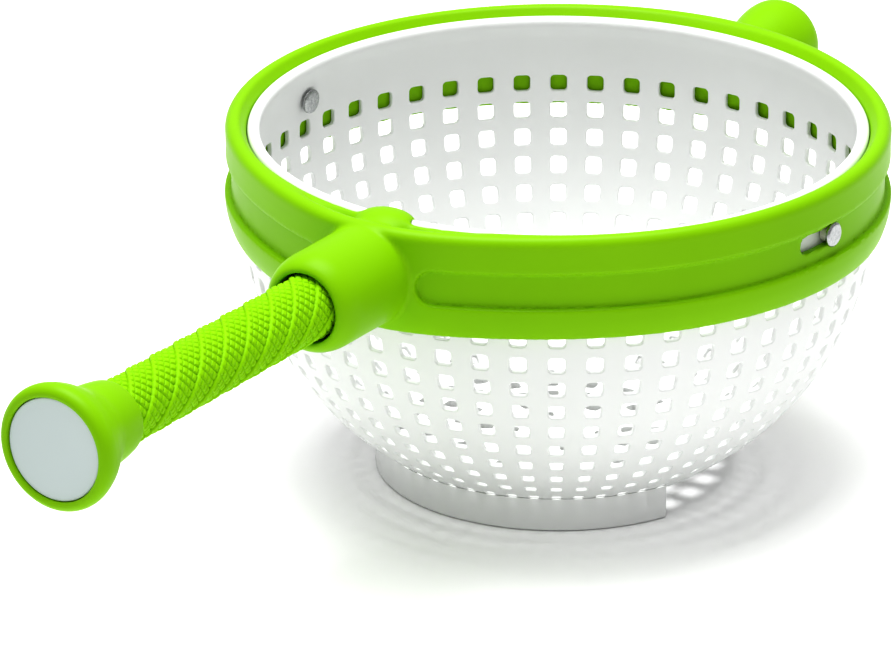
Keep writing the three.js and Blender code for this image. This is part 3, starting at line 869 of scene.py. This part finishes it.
def grip_radius(angle, along):
    """Wound bands that rise to a rounded outer edge, cut by two crossing sets of fine grooves."""
    turns = angle / (2 * math.pi)
    band = along / BAND_PITCH - BANDS * turns + BAND_PHASE
    t = band % 1
    rise = BAND_START + (1 - BAND_START) * np.clip(t / BAND_TOP, 0, 1)
    past_edge = np.clip((t - BAND_EDGE) / (1 - BAND_EDGE), 0, 1)
    edge = np.sqrt(1 - past_edge**2)
    fine = valley(band * FINE_PER_BAND, FINE_WIDTH)
    cross = valley(along / CROSS_PITCH + CROSS_STARTS * turns, CROSS_WIDTH)
    hatch = 1 - (1 - HATCH_LEFT) * smoothstep(t, BAND_EDGE, HATCH_END)
    depth = BAND_DEPTH * (1 - rise * edge) + KNURL_DEPTH * hatch * np.maximum(FINE_SHARE * fine, cross)
    near_end = smoothstep(along, GRIP_FROM, GRIP_FROM + END_LENGTH)
    far_end = 1 - smoothstep(along, GRIP_TO - END_LENGTH, GRIP_TO)
    ends = near_end * far_end
    return GRIP_RADIUS - GRIP_INSET - ends * depth - (1 - ends) * END_DEPTH


def make_grip():
    """The knurled sleeve: a fine outer skin over a plain bore."""
    step = GRIP_STEP
    turns = int(2 * math.pi * GRIP_RADIUS / step)
    rows = int((GRIP_TO - GRIP_FROM) / step)
    around = np.linspace(0, 2 * math.pi, turns, endpoint=False)
    angle, along = np.meshgrid(around, np.linspace(GRIP_FROM, GRIP_TO, rows + 1))
    radius = grip_radius(angle, along)
    skin = np.stack([radius * np.cos(angle), radius * np.sin(angle), along], axis=-1).reshape(-1, 3)
    faces = []
    for row in range(rows):
        joined(faces, row * turns, (row + 1) * turns, turns)
    bore = GRIP_BORE * np.stack([np.cos(around), np.sin(around)], axis=1)
    ends = [np.column_stack([bore, np.full(turns, at)]) for at in (GRIP_TO, GRIP_FROM)]
    outer_far, bore_far, bore_near = rows * turns, (rows + 1) * turns, (rows + 2) * turns
    joined(faces, outer_far, bore_far, turns)
    joined(faces, bore_far, bore_near, turns)
    joined(faces, bore_near, 0, turns)
    points = along_handle(np.concatenate([skin, *ends]))
    add_piece("grip", points, faces, GRIP, "handle", ["grip_sleeve"], sharp=50)


def make_end_cap():
    """A collar that flares into the round end, open for the disc."""
    seat = DISC_BACK - GAP
    recess = DISC_RADIUS + GAP
    shelf = CAP_FLOOR + CAP_FLOOR_THICK
    mouth = (CAP_MOUTH, CAP_FROM)
    collar = (CAP_COLLAR, CAP_FROM + 2.5)
    waist = (CAP_WAIST, CAP_TO - 24.5)
    flare = (CAP_FLARE, CAP_TO - 8)
    outside = [(GRIP_BORE, CAP_FROM), mouth]
    outside += bezier(mouth, (14.3, CAP_FROM), (14.8, CAP_FROM + 0.9), collar, 8)[1:]
    outside += bezier(collar, (15.5, CAP_FROM + 5), (16.1, CAP_TO - 29), waist, 10)[1:]
    outside += bezier(waist, (16.5, CAP_TO - 19.5), (22, CAP_TO - 14), flare, 16)[1:]
    outside += bezier(flare, (24.9, CAP_TO - 5), (24.8, CAP_TO - 0.9), (CAP_RIM, CAP_TO), 14)[1:]
    outside += [(recess + 0.6, CAP_TO - 0.05), (recess + 0.15, CAP_TO - 0.3), (recess, CAP_TO - 0.7)]
    inside = [(recess, seat), (recess - 2, seat), (8, shelf), (SCREW_HOLE, shelf), (SCREW_HOLE, CAP_FLOOR),
              (GRIP_BORE, CAP_FLOOR)]
    points, faces = turn(outside + inside, 128)
    add_piece("cap", along_handle(points), faces, GREEN, "handle", ["end_cap"], sharp=40)


def make_disc():
    """The plain disc let into the end, very slightly dished, with an eased edge."""
    dished = DISC_FACE - DISC_DISH
    corners = [(0, DISC_BACK), (DISC_RADIUS, DISC_BACK), (DISC_RADIUS, DISC_FACE - 0.1),
               (DISC_RADIUS - 1.2, DISC_FACE - 0.05), (12, dished + 0.1), (0, dished)]
    points, faces = turn(rounded(corners, [0, 0.3, 0.5, 0.8, 4, 0], 4), 96)
    add_piece("disc", along_handle(points), faces, GREY, "handle", ["end_disc"])


# ---- Pieces kept from the frame ----

KEPT = {
    "slot_bush_right": BEARING,
    "slot_bush_left": BEARING,
    "bearing_bush_outer": BEARING,
    "bearing_bush_inner": BEARING,
    "thrust_washer": BEARING,
    "spindle": STEEL,
    "retaining_clip": STEEL,
    "end_screw": STEEL,
    "end_washer": STEEL,
    "grip_core": CORE,
}


def finish_kept():
    """Gives the inner parts their materials and leaves their shapes alone."""
    for name, material in KEPT.items():
        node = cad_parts[name]
        node.data.materials.clear()
        node.data.materials.append(material)


# ---- Room: floor, lights and camera ----


def make_floor():
    """A plain pale floor, a hair under the object's foot."""
    size = 9.0
    mesh = bpy.data.meshes.new("floor")
    corners = [(-size, -size, 0), (size, -size, 0), (size, size, 0), (-size, size, 0)]
    mesh.from_pydata(corners, [], [(0, 1, 2, 3)])
    floor = bpy.data.objects.new("floor", mesh)
    bpy.context.scene.collection.objects.link(floor)
    floor.location.z = -0.0003
    material, nodes, links, shader = new_material("floor_white")
    shader.inputs["Base Color"].default_value = (0.96, 0.96, 0.96, 1)
    shader.inputs["Roughness"].default_value = 0.9
    shader.inputs["Specular IOR Level"].default_value = 0.1
    mesh.materials.append(material)


def add_light(name, place, target, size, power):
    """A rectangular light aimed at a point."""
    data = bpy.data.lights.new(name, "AREA")
    data.shape = "RECTANGLE"
    data.size, data.size_y = size
    data.energy = power
    light = bpy.data.objects.new(name, data)
    bpy.context.scene.collection.objects.link(light)
    light.location = place
    light.rotation_euler = (Vector(target) - Vector(place)).to_track_quat("-Z", "Y").to_euler()


def make_lights():
    """An even white room and one large light overhead."""
    world = bpy.data.worlds.new("studio")
    bpy.context.scene.world = world
    world.use_nodes = True
    background = world.node_tree.nodes["Background"]
    background.inputs["Color"].default_value = (1, 1, 1, 1)
    background.inputs["Strength"].default_value = WORLD_STRENGTH
    bowl_middle = (CENTRE_X / 1000, 0, 0.1)
    add_light("overhead", LIGHT_PLACE, bowl_middle, LIGHT_SIZE, LIGHT_POWER)


def make_camera():
    """A long lens, looking down on the bowl with the handle towards the viewer."""
    data = bpy.data.cameras.new("camera")
    data.sensor_width = 36
    data.lens = CAMERA_LENS
    data.clip_end = 20
    camera = bpy.data.objects.new("camera", data)
    bpy.context.scene.collection.objects.link(camera)
    camera.location = Vector(CAMERA_OFFSET) + Vector((CENTRE_X / 1000, 0, 0))
    camera.rotation_euler = (math.radians(CAMERA_TILT), 0, math.radians(CAMERA_TURN))
    bpy.context.scene.camera = camera


make_basket()
make_ring()
for pin_side, pin_angle in PIN_ANGLES.items():
    make_pin(pin_side, pin_angle)
    make_cap(pin_side, pin_angle)
make_grip()
make_end_cap()
make_disc()
finish_kept()
make_floor()
make_lights()
make_camera()
bpy.context.scene.view_settings.view_transform = "Standard"
bpy.context.scene.view_settings.look = "High Contrast"
